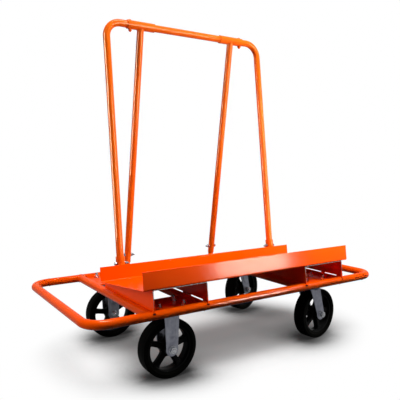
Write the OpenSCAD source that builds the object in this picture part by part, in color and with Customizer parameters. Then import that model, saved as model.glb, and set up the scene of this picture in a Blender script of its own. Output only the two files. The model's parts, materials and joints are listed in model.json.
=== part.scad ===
// Panel cart: a tube base on four casters, a tilted load deck and a leaning backrest.
// X runs along the cart, Y from the load side to the back, Z up from the floor.

/* [Base tubes] */
// Overall length of the base
base_length = 1300; // [1150:10:1500]
// Overall width of the base
base_width = 664; // [600:4:760]
// Outside diameter of the base tubes
tube_d = 30; // [26:1:34]
// Wall of the base tubes
tube_wall = 2; // [1.5:0.25:3]
// Centreline radius of the bends in the end loops
loop_bend = 65; // [50:1:90]
// Straight run of an end loop past its bends, up to the butt weld
loop_leg = 5; // [2:1:30]

/* [Caster bays] */
// Distance from the middle of the cart to the middle of a caster bay
bay_x = 333; // [300:1:360]
// Distance between the two cross tubes of a bay
bay_pitch = 204; // [190:1:230]
// Thickness of the caster pads
pad_t = 5; // [4:0.5:8]
// Length of a caster pad, measured from its side rail
pad_depth = 146; // [125:1:180]
// Distance from the middle of a side rail to the middle of its casters
caster_inset = 75; // [70:1:95]

/* [Deck] */
// Length of the deck tray
deck_length = 924; // [860:2:1000]
// Depth of the deck tray over its lip and back flange
deck_depth = 352; // [320:2:380]
// Sheet of the deck tray
deck_sheet = 2.5; // [1.5:0.25:4]
// Inside radius of the deck's folds
deck_bend = 3; // [2:0.5:6]
// Outside height of the front lip
lip_height = 60; // [40:1:90]
// Outside height of the back flange
back_height = 55; // [40:1:80]
// How far the foot of the lip stands back from the front of the base
deck_inset = 5; // [0:1:20]
// Height of the foot of the lip above the base tubes
deck_rise = 68; // [60:1:80]
// Slope of the deck, and lean of the backrest that stands square to it
tilt = 6.4; // [4:0.1:8]

/* [Wedge channels] */
// Sheet of the wedge channels
channel_sheet = 3; // [2:0.25:4]
// Inside radius of the channels' folds
channel_bend = 4; // [2:0.5:6]
// How far the channels start behind the face of the lip
channel_setback = 6; // [4:1:14]
// Width of a channel over its walls
channel_width = 206; // [200:1:208]
// Middle of the left channel, from the middle of the cart
channel_left_x = 325; // [323:1:334]
// Middle of the right channel, from the middle of the cart
channel_right_x = 334; // [330:1:336]
// Height of the slots that the right wall of each channel leaves open over its cross tube
channel_gap = 4; // [3:0.5:10]
// How far in front of the middle of the cart the slots start
slot_start = 298; // [280:1:300]
// How far in front of the middle of the cart the slots end
slot_end = 82; // [60:1:120]
// Place of the left channel's tabs, which part its slots and are welded to the tubes
tab_left = 193; // [180:1:210]
// Length of the left channel's tabs
tab_left_length = 54; // [30:1:60]
// Place of the right channel's tabs
tab_right = 224; // [180:1:230]
// Length of the right channel's tabs
tab_right_length = 20; // [16:1:60]
// How far the channels run past the upright sockets
channel_tail = 12; // [6:1:24]

/* [Backrest] */
// Outside diameter of the uprights, top bar and braces
rest_tube_d = 28; // [25:1:30]
// Wall of the backrest tubes
rest_wall = 2; // [1.5:0.25:2.5]
// Distance between the two uprights
rest_span = 744; // [680:4:800]
// Length of the backrest from the channels to the top bar
rest_rise = 992; // [900:4:1100]
// Centreline radius of the bends at the top of the uprights
rest_bend = 60; // [50:1:75]
// Distance of each brace from the middle of the cart
brace_x = 223; // [190:1:230]
// Length of the sleeves that join the top bar to the uprights
sleeve_length = 120; // [100:2:140]
// Wall of the sleeves and sockets
sleeve_wall = 2.8; // [2:0.2:4]
// Height of the sockets that hold the uprights
socket_height = 85; // [75:1:110]
// Height of the bolts in the sockets
socket_bolt_height = 59; // [55:1:65]
// Height of the brace spigots above the middle of the rear rail
spigot_height = 120; // [105:1:150]
// Distance of the lower end of a brace from the middle of the rear rail
brace_foot = 48; // [40:1:55]
// Distance of the brace bolts from the middle of the rear rail
brace_bolt_height = 80; // [70:1:90]
// Distance from the outer end of a sleeve to its bolt
sleeve_bolt_inset = 12; // [9:1:20]

/* [Wheels] */
// Diameter of the wheels over the tyre
wheel_d = 203; // [180:1:220]
// Width of the tyre
tyre_width = 52; // [44:1:54]
// Thickness of the rubber between tread and rim
tyre_depth = 21; // [15:1:25]
// Radius of the tyre's shoulders
tyre_shoulder = 5; // [4:0.5:10]
// Width of the raised band on each side of the tyre
tyre_band = 6; // [4:0.5:8]
// Width of the cast rim
rim_width = 42; // [38:1:44]
// Thickness of the cast rim
rim_t = 8; // [6:0.5:11]
// Thickness of the spokes along the axle
spoke_t = 24; // [14:1:28]
// Width of the spokes
spoke_width = 20; // [14:1:21]
// Number of spokes
spoke_count = 5; // [4:1:6]
// Corner radius of the windows between the spokes
window_corner = 6; // [4:0.5:7]
// Diameter of the hub
hub_d = 52; // [46:1:58]
// Length of the hub
hub_length = 59; // [57:1:66]

/* [Casters] */
// Height of the caster plates above the tyres
head_room = 38; // [37:1:48]
// Length of a caster plate
plate_length = 115; // [110:1:130]
// Width of a caster plate
plate_width = 102; // [95:1:108]
// Thickness of a caster plate
plate_t = 6; // [5:0.5:7]
// Bolt spacing along a caster plate
bolt_pitch_long = 92; // [88:1:94]
// Bolt spacing across a caster plate
bolt_pitch_cross = 67; // [64:1:76]
// Sheet of the fork legs
fork_t = 4.5; // [3.5:0.25:6]
// Width of a fork leg at the top
leg_top = 58; // [52:1:62]
// Diameter of the rounded end of a fork leg
leg_eye = 46; // [40:1:52]
// Width of the pressed rib on a fork leg
rib_width = 26; // [18:1:30]
// Height of the pressed rib on a fork leg
rib_height = 2.5; // [1:0.25:3]
// Distance of the rib's upper end below the plate or saddle
rib_start = 4; // [2:0.5:10]
// Distance of the rib's lower end above the axle
rib_stop = 40; // [34:1:60]
// Distance of the axle behind the swivel
trail = 38; // [30:1:44]
// Diameter of the swivel races
race_d = 84; // [80:1:88]
// Diameter of the swivel balls
ball_d = 9; // [7:0.5:10]
// Number of balls in a swivel
ball_count = 18; // [12:1:20]
// Diameter of the kingpin
kingpin_d = 14; // [12:1:16]
// Outside diameter of the sleeve that the hub turns on
bush_d = 20; // [18:1:24]
// Heading of the front swivel caster
swivel_front_angle = 6; // [-180:0.1:180]
// Heading of the rear swivel caster
swivel_rear_angle = 14.5; // [-180:0.1:180]

/* [Fasteners] */
// Diameter of the backrest bolts
rest_bolt_d = 8; // [6:1:9]
// Width across the flats of the backrest bolts
rest_bolt_af = 13; // [11:1:14]
// Length of the bolts in the sockets and sleeves
socket_bolt_length = 50; // [46:1:60]
// Length of the bolts in the braces
brace_bolt_length = 46; // [40:1:55]
// Diameter of the caster bolts
caster_bolt_d = 10; // [8:1:11]
// Width across the flats of the caster bolts
caster_bolt_af = 17; // [14:1:18]
// Length of the caster bolts
caster_bolt_length = 31; // [24:1:36]
// Diameter of the axle bolts
axle_d = 14; // [10:1:14]
// Width across the flats of the axle bolts
axle_af = 22; // [19:1:24]

/* [Hidden] */
$fn = 96;
frame_orange = "#F45A0B";
fork_grey = "#8A8C94";
zinc = "#C6C8CC";
iron_black = "#222224";
rubber_black = "#171718";

// Gap at a welded seam
weld_gap = 0.1;
// Radial clearance of a tube in its sleeve or on its spigot
rest_fit = 0.2;
// Clearance of a bolt in its hole, over the diameter
bolt_play = 0.8;
// Radial clearance of a nut on its thread
thread_gap = 0.05;
// Radial clearance of a running fit
run_gap = 0.06;
// Gap between faces that turn past each other
face_gap = 0.5;
// Overrun of every cut
cut = 1;
// Gap between the tube ends inside a sleeve
butt_gap = 2;
// Height of a bolt head and of a nut as shares of the bolt's diameter
head_share = 0.66;
nut_share = 0.8;
// Length of thread past the axle nut as a share of the bolt's diameter
thread_share = 0.4;
// Half width of a fork leg where it runs into its round end, as a share of the round end's radius
eye_share = 0.96;
// Taper of a window: its inner corners stand this far from the hub, as a share of the corner radius
window_inner_share = 1.5;

// Heights and places that follow from the sizes above
caster_z = wheel_d + head_room;
base_z = caster_z + pad_t / 2;
crown_z = base_z + tube_d / 2;
rail_y = (base_width - tube_d) / 2;
loop_x = (base_length - tube_d) / 2;
loop_bend_x = loop_x - loop_bend;
loop_bend_y = rail_y - loop_bend;
seam_x = loop_bend_x - loop_leg;
caster_y = rail_y - caster_inset;
pad_half = (bay_pitch - tube_d) / 2 - weld_gap;
pad_outer_y = rail_y - tube_d / 2 - weld_gap;

// The deck's own frame starts at the foot of the lip, with its floor along Y
deck_y = deck_inset - base_width / 2;
deck_z = crown_z + deck_rise;
sleeve_bore = rest_tube_d + 2 * rest_fit;
sleeve_d = sleeve_bore + 2 * sleeve_wall;
rest_y = deck_depth + weld_gap + sleeve_d / 2;
channel_end = rest_y + sleeve_d / 2 + channel_tail;
top_y = deck_y + rest_y * cos(tilt) + rest_rise * sin(tilt);
top_z = deck_z - rest_y * sin(tilt) + rest_rise * cos(tilt);
brace_lean = atan2(rail_y - top_y, top_z - base_z);
brace_length = norm([rail_y - top_y, top_z - base_z]);
spigot_d = rest_tube_d - 2 * rest_wall - 2 * rest_fit;
sleeve_bolt_x = brace_x + sleeve_length / 2 - sleeve_bolt_inset;
rest_hole_d = rest_bolt_d + bolt_play;

// Caster sizes, in a frame at the middle of the mounting face
axle_drop = caster_z - wheel_d / 2;
fork_inner = hub_length / 2 + 2 * face_gap;
fork_outer = fork_inner + fork_t;
race_t = plate_t;
race_gap = ball_d / 2;
race_top = plate_t + race_t;
lower_race_top = race_top + race_gap;
saddle_top = lower_race_top + race_t;
saddle_bottom = saddle_top + plate_t;
ball_circle = (race_d + kingpin_d) / 2 + ball_d;
ball_z = race_top + race_gap / 2;
kingpin_head_d = 2 * kingpin_d;
kingpin_head_t = plate_t / 2;
kingpin_nut_t = kingpin_d / 2;
kingpin_nut_af = axle_af + kingpin_d / 4;
kingpin_end = saddle_bottom + face_gap + kingpin_nut_t;

// How far each spoked core is turned on its axle
core_turn_front_left = 50;
core_turn_rear_left = 60;
core_turn_front_right = 36;
core_turn_rear_right = 18;

// Wheel radii
rim_outer = wheel_d / 2 - tyre_depth;
rim_inner = rim_outer - rim_t;
window_inner = hub_d / 2 + window_inner_share * window_corner;
window_outer = rim_inner - rim_t / 4 - window_corner;
window_half_angle_inner = 180 / spoke_count - asin((spoke_width / 2 + window_corner) / window_inner);
window_half_angle_outer = 180 / spoke_count - asin((spoke_width / 2 + window_corner) / window_outer);

// Shared shapes

module tube_section(d, wall) {
    difference() {
        circle(d = d);
        circle(d = d - 2 * wall);
    }
}

module straight_tube(d, wall, length) {
    linear_extrude(length) tube_section(d, wall);
}

// A quarter bend in the XY plane, from the X axis to the Y axis
module tube_bend(d, wall, radius) {
    rotate_extrude(angle = 90) translate([radius, 0]) tube_section(d, wall);
}

// A bar along X through the origin
module x_bar(d, length) {
    rotate([0, 90, 0]) cylinder(d = d, h = length, center = true);
}

// A bar along Y through the origin
module y_bar(d, length) {
    rotate([90, 0, 0]) cylinder(d = d, h = length, center = true);
}

module hex_prism(af, height) {
    cylinder(d = af / cos(30), h = height, $fn = 6);
}

// A bolt whose head lies under z = 0 and whose shank rises from it
module hex_bolt(d, af, length) {
    translate([0, 0, -head_share * d]) hex_prism(af, head_share * d);
    cylinder(d = d, h = length);
}

module hex_nut(d, af) {
    difference() {
        hex_prism(af, nut_share * d);
        translate([0, 0, -cut]) cylinder(d = d + 2 * thread_gap, h = nut_share * d + 2 * cut);
    }
}

// A rectangle whose two lower corners are rounded
module round_foot_rect(width, height, radius) {
    translate([radius, 0]) square([width - 2 * radius, height]);
    translate([0, radius]) square([width, height - radius]);
    for (x = [radius, width - radius]) translate([x, radius]) circle(r = radius);
}

// Section of a sheet folded into a U
module folded_u(width, height, sheet, bend) {
    difference() {
        round_foot_rect(width, height, bend + sheet);
        translate([sheet, sheet]) round_foot_rect(width - 2 * sheet, height, bend);
    }
}

// The solid rails, grown by the weld gap, that other tubes are coped to
module rail_cope() {
    for (end = [-1, 1]) translate([0, end * rail_y, base_z]) x_bar(tube_d + 2 * weld_gap, base_length);
}

// Bars round the cross tubes, grown by a gap, between two places in front of or behind the middle
module cross_bars(gap, start, end, steps = [-1, 1]) {
    for (side = [-1, 1], step = steps)
        translate([side * bay_x + step * bay_pitch / 2, (start + end) / 2, base_z])
            y_bar(tube_d + 2 * gap, end - start);
}

// The solid cross tubes, grown by the weld gap, that other pieces are coped to
module cross_cope() {
    cross_bars(weld_gap, -rail_y, rail_y);
}

// Slots in front of and behind a tab, in the right wall of each channel
module cross_slots(tab, tab_length) {
    cross_bars(channel_gap, -slot_start, -tab - tab_length / 2, [1]);
    cross_bars(channel_gap, -tab + tab_length / 2, -slot_end, [1]);
}

// The deck's frame
module on_deck() {
    translate([0, deck_y, deck_z]) rotate([-tilt, 0, 0]) children();
}

// A brace's frame, with Z up the brace from the middle of the rear rail
module on_brace(side) {
    translate([side * brace_x, rail_y, base_z]) rotate([brace_lean, 0, 0]) children();
}

module at_caster(side, end, heading = 0) {
    translate([side * bay_x, end * caster_y, caster_z]) rotate([0, 0, heading]) children();
}

module at_caster_bolts() {
    for (x = [-1, 1], y = [-1, 1])
        translate([x * bolt_pitch_long / 2, y * bolt_pitch_cross / 2, 0]) children();
}

// Base

module rail(end) {
    color(frame_orange)
        translate([-seam_x, end * rail_y, base_z])
            rotate([0, 90, 0]) straight_tube(tube_d, tube_wall, 2 * seam_x);
}

module end_loop(heading) {
    color(frame_orange) rotate([0, 0, heading]) translate([0, 0, base_z]) {
        for (end = [-1, 1]) {
            translate([loop_bend_x, end * loop_bend_y, 0])
                rotate([0, 0, end > 0 ? 0 : -90]) tube_bend(tube_d, tube_wall, loop_bend);
            translate([seam_x, end * rail_y, 0])
                rotate([0, 90, 0]) straight_tube(tube_d, tube_wall, loop_leg);
        }
        translate([loop_x, -loop_bend_y, 0])
            rotate([-90, 0, 0]) straight_tube(tube_d, tube_wall, 2 * loop_bend_y);
    }
}

module cross_tube(side, step) {
    color(frame_orange) difference() {
        translate([side * (bay_x + step * bay_pitch / 2), -rail_y, base_z])
            rotate([-90, 0, 0]) straight_tube(tube_d, tube_wall, 2 * rail_y);
        rail_cope();
    }
}

module caster_pad(side, end) {
    color(frame_orange) difference() {
        translate([side * bay_x - pad_half, end > 0 ? pad_outer_y - pad_depth : -pad_outer_y, caster_z])
            cube([2 * pad_half, pad_depth, pad_t]);
        at_caster(side, end) at_caster_bolts()
            translate([0, 0, -cut]) cylinder(d = caster_bolt_d + bolt_play, h = pad_t + 2 * cut);
    }
}

module front_rail() { rail(-1); }
module rear_rail() { rail(1); }
module left_end_loop() { end_loop(180); }
module right_end_loop() { end_loop(0); }
module cross_tube_left_outer() { cross_tube(-1, 1); }
module cross_tube_left_inner() { cross_tube(-1, -1); }
module cross_tube_right_inner() { cross_tube(1, -1); }
module cross_tube_right_outer() { cross_tube(1, 1); }
module caster_pad_front_left() { caster_pad(-1, -1); }
module caster_pad_rear_left() { caster_pad(-1, 1); }
module caster_pad_front_right() { caster_pad(1, -1); }
module caster_pad_rear_right() { caster_pad(1, 1); }

// Deck

// A folded channel under the deck, trimmed level along the cross tubes and seated on the front rail
module wedge_channel(middle, tab, tab_length) {
    wall = deck_rise + tube_d;
    length = channel_end - channel_setback;
    color(frame_orange) difference() {
        on_deck() translate([middle + channel_width / 2, channel_end, 0])
            rotate([90, 180, 0]) linear_extrude(length)
                folded_u(channel_width, wall, channel_sheet, channel_bend);
        translate([-base_length / 2, -base_width, base_z - 2 * wall])
            cube([base_length, 2 * base_width, 2 * wall]);
        rail_cope();
        cross_cope();
        cross_slots(tab, tab_length);
    }
}

module wedge_channel_left() { wedge_channel(-channel_left_x, tab_left, tab_left_length); }
module wedge_channel_right() { wedge_channel(channel_right_x, tab_right, tab_right_length); }

module deck_tray() {
    color(frame_orange) on_deck() translate([-deck_length / 2, 0, 0])
        rotate([90, 0, 90]) linear_extrude(deck_length) difference() {
            folded_u(deck_depth, max(lip_height, back_height), deck_sheet, deck_bend);
            translate([-cut, lip_height]) square([deck_depth / 2, lip_height + back_height]);
            translate([deck_depth / 2, back_height]) square([deck_depth, lip_height + back_height]);
        }
}

// Backrest

module socket_bolt_places(side) {
    on_deck() translate([side * rest_span / 2, rest_y, socket_bolt_height]) children();
}

module sleeve_bolt_places(side) {
    on_deck() translate([side * sleeve_bolt_x, rest_y, rest_rise]) children();
}

module upright_socket(side) {
    color(frame_orange) difference() {
        on_deck() translate([side * rest_span / 2, rest_y, weld_gap])
            straight_tube(sleeve_d, sleeve_wall, socket_height - weld_gap);
        socket_bolt_places(side) x_bar(rest_hole_d, 2 * sleeve_d);
    }
}

module upright(side) {
    arm = rest_span / 2 - rest_bend - brace_x - butt_gap / 2;
    color(frame_orange) difference() {
        on_deck() translate([0, rest_y, 0]) {
            translate([side * rest_span / 2, 0, weld_gap])
                straight_tube(rest_tube_d, rest_wall, rest_rise - rest_bend - weld_gap);
            translate([side * (rest_span / 2 - rest_bend), 0, rest_rise - rest_bend])
                rotate([0, 0, side > 0 ? 0 : 180]) rotate([90, 0, 0])
                    tube_bend(rest_tube_d, rest_wall, rest_bend);
            translate([side * (rest_span / 2 - rest_bend), 0, rest_rise])
                rotate([0, -side * 90, 0]) straight_tube(rest_tube_d, rest_wall, arm);
        }
        socket_bolt_places(side) x_bar(rest_hole_d, 2 * sleeve_d);
        sleeve_bolt_places(side) cylinder(d = rest_hole_d, h = 2 * sleeve_d, center = true);
    }
}

module tee_sleeve(side) {
    color(frame_orange) difference() {
        on_deck() translate([side * brace_x - sleeve_length / 2, rest_y, rest_rise])
            rotate([0, 90, 0]) straight_tube(sleeve_d, sleeve_wall, sleeve_length);
        sleeve_bolt_places(side) cylinder(d = rest_hole_d, h = 2 * sleeve_d, center = true);
    }
}

module brace_spigot(side) {
    color(frame_orange) difference() {
        on_brace(side) straight_tube(spigot_d, rest_wall, spigot_height);
        rail_cope();
        cross_cope();
        on_brace(side) translate([0, 0, brace_bolt_height]) x_bar(rest_hole_d, 2 * sleeve_d);
    }
}

module brace(side) {
    color(frame_orange) on_brace(side) difference() {
        translate([0, 0, brace_foot])
            straight_tube(rest_tube_d, rest_wall, brace_length - brace_foot);
        translate([0, 0, brace_length]) x_bar(sleeve_d + 2 * weld_gap, sleeve_length);
        translate([0, 0, brace_bolt_height]) x_bar(rest_hole_d, 2 * sleeve_d);
    }
}

// A nut on a bolt that enters at one face and leaves at the other, with Z along the bolt
module far_nut(thickness) {
    translate([0, 0, thickness]) hex_nut(rest_bolt_d, rest_bolt_af);
}

// Bolts point inboard along X from the outer face of what they clamp
module inboard(side, thickness) {
    translate([side * thickness / 2, 0, 0]) rotate([0, -side * 90, 0]) children();
}

// Sleeve bolts point down from the top of the sleeve
module downward(thickness) {
    translate([0, 0, thickness / 2]) rotate([180, 0, 0]) children();
}

module upright_socket_left() { upright_socket(-1); }
module upright_socket_right() { upright_socket(1); }
module brace_spigot_left() { brace_spigot(-1); }
module brace_spigot_right() { brace_spigot(1); }
module upright_left() { upright(-1); }
module upright_right() { upright(1); }
module tee_sleeve_left() { tee_sleeve(-1); }
module tee_sleeve_right() { tee_sleeve(1); }
module brace_left() { brace(-1); }
module brace_right() { brace(1); }

module top_bar() {
    half = brace_x - butt_gap / 2;
    color(frame_orange) on_deck() translate([-half, rest_y, rest_rise])
        rotate([0, 90, 0]) straight_tube(rest_tube_d, rest_wall, 2 * half);
}

module upright_bolts() {
    color(zinc) for (side = [-1, 1]) socket_bolt_places(side)
        inboard(side, sleeve_d) hex_bolt(rest_bolt_d, rest_bolt_af, socket_bolt_length);
}

module brace_bolts() {
    color(zinc) for (side = [-1, 1]) on_brace(side) translate([0, 0, brace_bolt_height])
        inboard(side, rest_tube_d) hex_bolt(rest_bolt_d, rest_bolt_af, brace_bolt_length);
}

module sleeve_bolts() {
    color(zinc) for (side = [-1, 1]) sleeve_bolt_places(side)
        downward(sleeve_d) hex_bolt(rest_bolt_d, rest_bolt_af, socket_bolt_length);
}

module backrest_nuts() {
    color(zinc) for (side = [-1, 1]) {
        socket_bolt_places(side) inboard(side, sleeve_d) far_nut(sleeve_d);
        on_brace(side) translate([0, 0, brace_bolt_height]) inboard(side, rest_tube_d) far_nut(rest_tube_d);
        sleeve_bolt_places(side) downward(sleeve_d) far_nut(sleeve_d);
    }
}

// Casters

module caster_bolts() {
    color(zinc) for (side = [-1, 1], end = [-1, 1]) at_caster(side, end) at_caster_bolts()
        translate([0, 0, -plate_t]) hex_bolt(caster_bolt_d, caster_bolt_af, caster_bolt_length);
}

module caster_nuts() {
    color(zinc) for (side = [-1, 1], end = [-1, 1]) at_caster(side, end) at_caster_bolts()
        translate([0, 0, pad_t]) hex_nut(caster_bolt_d, caster_bolt_af);
}

module caster_plate() {
    difference() {
        translate([-plate_length / 2, -plate_width / 2, -plate_t])
            cube([plate_length, plate_width, plate_t]);
        at_caster_bolts() translate([0, 0, -plate_t - cut])
            cylinder(d = caster_bolt_d + bolt_play, h = plate_t + 2 * cut);
    }
}

// Outline of a fork leg, from its top down to the eye round the axle
module leg_outline(top, lean) {
    foot = eye_share * leg_eye / 2;
    difference() {
        union() {
            polygon([
                [-leg_top / 2, -top], [leg_top / 2, -top],
                [lean + foot, -axle_drop], [lean - foot, -axle_drop]
            ]);
            translate([lean, -axle_drop]) circle(d = leg_eye);
        }
        translate([lean, -axle_drop]) circle(d = axle_d + bolt_play);
    }
}

// The pressed rib follows the middle of the leg and is rounded at both ends
module rib_outline(top, lean, width) {
    slope = atan2(lean, axle_drop - top);
    start = rib_start + rib_width / 2;
    run = norm([lean, axle_drop - top]) - rib_stop - rib_width / 2;
    translate([0, -top]) rotate(slope) {
        translate([-width / 2, -run]) square([width, run - start]);
        for (v = [start, run]) translate([0, -v]) circle(d = width);
    }
}

// A pair of legs; the rib stands out on the outside and is hollow on the inside
module fork_legs(top, lean) {
    for (turn = [0, 180]) rotate([0, 0, turn]) {
        reach = turn > 0 ? -lean : lean;
        difference() {
            union() {
                translate([0, -fork_inner, 0]) rotate([90, 0, 0])
                    linear_extrude(fork_t) leg_outline(top, reach);
                translate([0, -fork_outer, 0]) rotate([90, 0, 0])
                    linear_extrude(rib_height) rib_outline(top, reach, rib_width);
            }
            translate([0, cut - fork_inner, 0]) rotate([90, 0, 0])
                linear_extrude(rib_height + cut) rib_outline(top, reach, rib_width - 2 * rib_height);
        }
    }
}

module rigid_fork(end) {
    color(fork_grey) at_caster(-1, end) {
        caster_plate();
        fork_legs(plate_t, 0);
    }
}

module rigid_fork_front_left() { rigid_fork(-1); }
module rigid_fork_rear_left() { rigid_fork(1); }

// Groove that the swivel balls run in
module ball_groove() {
    translate([0, 0, -ball_z]) rotate_extrude()
        translate([ball_circle / 2, 0]) circle(d = ball_d + 2 * run_gap);
}

module swivel_plate(end) {
    color(fork_grey) at_caster(1, end) difference() {
        union() {
            caster_plate();
            translate([0, 0, -race_top]) cylinder(d = race_d, h = race_top - plate_t);
        }
        ball_groove();
        translate([0, 0, -race_top - cut])
            cylinder(d = kingpin_d + 2 * thread_gap, h = race_top + 2 * cut);
        translate([0, 0, -kingpin_head_t])
            cylinder(d = kingpin_head_d + 2 * thread_gap, h = kingpin_head_t + cut);
    }
}

module kingpin(end) {
    color(zinc) at_caster(1, end) {
        translate([0, 0, -kingpin_head_t]) cylinder(d = kingpin_head_d, h = kingpin_head_t - thread_gap);
        translate([0, 0, -kingpin_end]) cylinder(d = kingpin_d, h = kingpin_end - kingpin_head_t);
        translate([0, 0, -kingpin_end]) hex_prism(kingpin_nut_af, kingpin_nut_t);
    }
}

module swivel_balls(end) {
    color(zinc) at_caster(1, end) for (i = [0 : ball_count - 1])
        rotate([0, 0, i * 360 / ball_count]) translate([ball_circle / 2, 0, -ball_z]) sphere(d = ball_d);
}

module swivel_fork(end, heading) {
    color(fork_grey) at_caster(1, end, heading) difference() {
        union() {
            translate([0, 0, -saddle_top]) cylinder(d = race_d, h = saddle_top - lower_race_top);
            translate([-leg_top / 2, -fork_outer, -saddle_bottom])
                cube([leg_top, 2 * fork_outer, saddle_bottom - saddle_top]);
            fork_legs(saddle_bottom, trail);
        }
        ball_groove();
        translate([0, 0, -saddle_bottom - cut])
            cylinder(d = kingpin_d + 2 * run_gap, h = saddle_bottom + 2 * cut);
    }
}

module swivel_plate_front_right() { swivel_plate(-1); }
module swivel_plate_rear_right() { swivel_plate(1); }
module kingpin_front_right() { kingpin(-1); }
module kingpin_rear_right() { kingpin(1); }
module swivel_balls_front_right() { swivel_balls(-1); }
module swivel_balls_rear_right() { swivel_balls(1); }
module swivel_fork_front_right() { swivel_fork(-1, swivel_front_angle); }
module swivel_fork_rear_right() { swivel_fork(1, swivel_rear_angle); }

// Axles: Z of the child runs from the far leg to the near one, with its zero on the wheel's middle
module on_axle(lean) {
    translate([lean, 0, -axle_drop]) rotate([90, 0, 0]) children();
}

module axle_bolt() {
    length = 2 * fork_outer + (nut_share + thread_share) * axle_d;
    color(zinc) translate([0, 0, -fork_outer]) hex_bolt(axle_d, axle_af, length);
}

module axle_nut() {
    color(zinc) translate([0, 0, fork_outer]) hex_nut(axle_d, axle_af);
}

module axle_bush() {
    color(zinc) translate([0, 0, -fork_inner]) difference() {
        cylinder(d = bush_d, h = 2 * fork_inner);
        translate([0, 0, -cut]) cylinder(d = axle_d + 2 * thread_gap, h = 2 * fork_inner + 2 * cut);
    }
}

module rigid_axle_bolts() {
    for (end = [-1, 1]) at_caster(-1, end) on_axle(0) axle_bolt();
}

module rigid_axle_nuts() {
    for (end = [-1, 1]) at_caster(-1, end) on_axle(0) axle_nut();
}

module rigid_axle_bushes() {
    for (end = [-1, 1]) at_caster(-1, end) on_axle(0) axle_bush();
}

module axle_bolt_front_right() { at_caster(1, -1, swivel_front_angle) on_axle(trail) axle_bolt(); }
module axle_bolt_rear_right() { at_caster(1, 1, swivel_rear_angle) on_axle(trail) axle_bolt(); }
module axle_nut_front_right() { at_caster(1, -1, swivel_front_angle) on_axle(trail) axle_nut(); }
module axle_nut_rear_right() { at_caster(1, 1, swivel_rear_angle) on_axle(trail) axle_nut(); }
module axle_bush_front_right() { at_caster(1, -1, swivel_front_angle) on_axle(trail) axle_bush(); }
module axle_bush_rear_right() { at_caster(1, 1, swivel_rear_angle) on_axle(trail) axle_bush(); }

// Wheels

// A window between two spokes, pointing along X, with rounded corners
module spoke_window() {
    hull() {
        for (a = [-1, 1]) rotate(a * window_half_angle_inner)
            translate([window_inner, 0]) circle(r = window_corner, $fn = 32);
        for (a = [-1, -1 / 3, 1 / 3, 1]) rotate(a * window_half_angle_outer)
            translate([window_outer, 0]) circle(r = window_corner, $fn = 32);
    }
}

module wheel_core(turn) {
    color(iron_black) rotate([0, 0, turn]) difference() {
        union() {
            translate([0, 0, -hub_length / 2]) cylinder(d = hub_d, h = hub_length);
            translate([0, 0, -spoke_t / 2]) cylinder(r = rim_inner + rim_t / 2, h = spoke_t);
            rotate_extrude() translate([rim_inner, -rim_width / 2]) square([rim_t, rim_width]);
        }
        for (i = [0 : spoke_count - 1]) rotate([0, 0, i * 360 / spoke_count])
            translate([0, 0, -spoke_t / 2 - cut]) linear_extrude(spoke_t + 2 * cut) spoke_window();
        translate([0, 0, -hub_length / 2 - cut])
            cylinder(d = bush_d + 2 * run_gap, h = hub_length + 2 * cut);
    }
}

// Rubber tyre with round shoulders and a raised band on each side
module tyre() {
    tread = tyre_width - 2 * tyre_shoulder;
    shoulder_r = wheel_d / 2 - tyre_shoulder;
    color(rubber_black) rotate_extrude() {
        translate([rim_outer, -tread / 2]) square([tyre_depth, tread]);
        translate([rim_outer + tyre_band, -tyre_width / 2])
            square([shoulder_r - rim_outer - tyre_band, tyre_width]);
        translate([rim_outer, -rim_width / 2]) square([tyre_band, rim_width]);
        for (z = [-tread / 2, tread / 2]) translate([shoulder_r, z]) circle(r = tyre_shoulder);
    }
}

module wheel_core_front_left() { at_caster(-1, -1) on_axle(0) wheel_core(core_turn_front_left); }
module wheel_core_rear_left() { at_caster(-1, 1) on_axle(0) wheel_core(core_turn_rear_left); }
module wheel_core_front_right() {
    at_caster(1, -1, swivel_front_angle) on_axle(trail) wheel_core(core_turn_front_right);
}

module wheel_core_rear_right() {
    at_caster(1, 1, swivel_rear_angle) on_axle(trail) wheel_core(core_turn_rear_right);
}

module tyre_front_left() { at_caster(-1, -1) on_axle(0) tyre(); }
module tyre_rear_left() { at_caster(-1, 1) on_axle(0) tyre(); }
module tyre_front_right() { at_caster(1, -1, swivel_front_angle) on_axle(trail) tyre(); }
module tyre_rear_right() { at_caster(1, 1, swivel_rear_angle) on_axle(trail) tyre(); }

front_rail();
rear_rail();
left_end_loop();
right_end_loop();
cross_tube_left_outer();
cross_tube_left_inner();
cross_tube_right_inner();
cross_tube_right_outer();
caster_pad_front_left();
caster_pad_rear_left();
caster_pad_front_right();
caster_pad_rear_right();
wedge_channel_left();
wedge_channel_right();
deck_tray();
upright_socket_left();
upright_socket_right();
brace_spigot_left();
brace_spigot_right();
upright_left();
upright_right();
top_bar();
tee_sleeve_left();
tee_sleeve_right();
brace_left();
brace_right();
upright_bolts();
brace_bolts();
sleeve_bolts();
backrest_nuts();
caster_bolts();
caster_nuts();
rigid_fork_front_left();
rigid_fork_rear_left();
rigid_axle_bolts();
rigid_axle_nuts();
rigid_axle_bushes();
swivel_plate_front_right();
swivel_plate_rear_right();
kingpin_front_right();
kingpin_rear_right();
swivel_balls_front_right();
swivel_balls_rear_right();
swivel_fork_front_right();
swivel_fork_rear_right();
axle_bolt_front_right();
axle_bolt_rear_right();
axle_nut_front_right();
axle_nut_rear_right();
axle_bush_front_right();
axle_bush_rear_right();
wheel_core_front_left();
wheel_core_rear_left();
wheel_core_front_right();
wheel_core_rear_right();
tyre_front_left();
tyre_rear_left();
tyre_front_right();
tyre_rear_right();
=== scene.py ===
# %% [markdown]
# # A panel cart in a plain studio
# The cart carries plasterboard sheets on edge: a tube base on four casters, a tilted deck with a lip
# that stops the sheets, and a leaning backrest. The solids of the tubes come ready from the packed
# frame. This lesson gives them their finish and rebuilds the pieces that need more than a plain solid:
# tyres, spoked cores, pressed forks, folded deck, fasteners and weld beads.

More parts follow.
